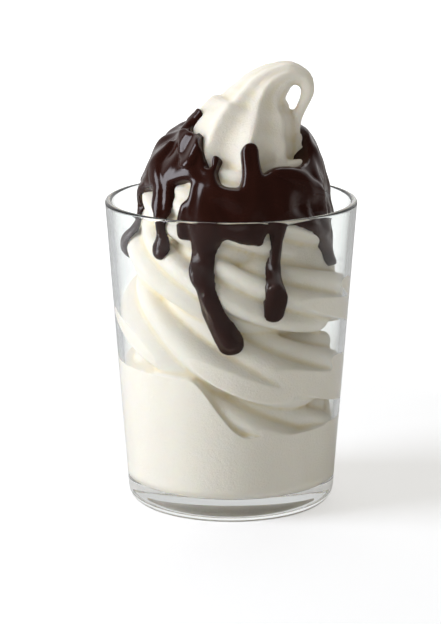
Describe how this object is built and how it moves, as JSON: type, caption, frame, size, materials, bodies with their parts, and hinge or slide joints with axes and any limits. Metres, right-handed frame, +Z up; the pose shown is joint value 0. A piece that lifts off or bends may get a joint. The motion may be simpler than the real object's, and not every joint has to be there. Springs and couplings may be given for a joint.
{
  "type": "ice cream sundae",
  "caption": "Soft-serve ice cream piped in a swirl in a clear glass tumbler, with chocolate sauce running down over it.",
  "frame": {"origin": "centre of the glass's underside, at the height of the surface it stands on", "axes": "+Z up along the glass's axis, +X to the right as the sundae is seen from the front, +Y to the back; the front is at -Y, and the peak leans towards +X"},
  "size_m": [0.085, 0.085, 0.1509],
  "materials": {
    "clear_glass": "smooth clear glass",
    "ice_cream": "soft, slightly icy dairy ice",
    "chocolate_sauce": "wet, glossy dark sauce"
  },
  "bodies": {
    "root": {"glass": "clear_glass", "ice_cream": "ice_cream", "chocolate_sauce": "chocolate_sauce"}
  },
  "joints": []
}
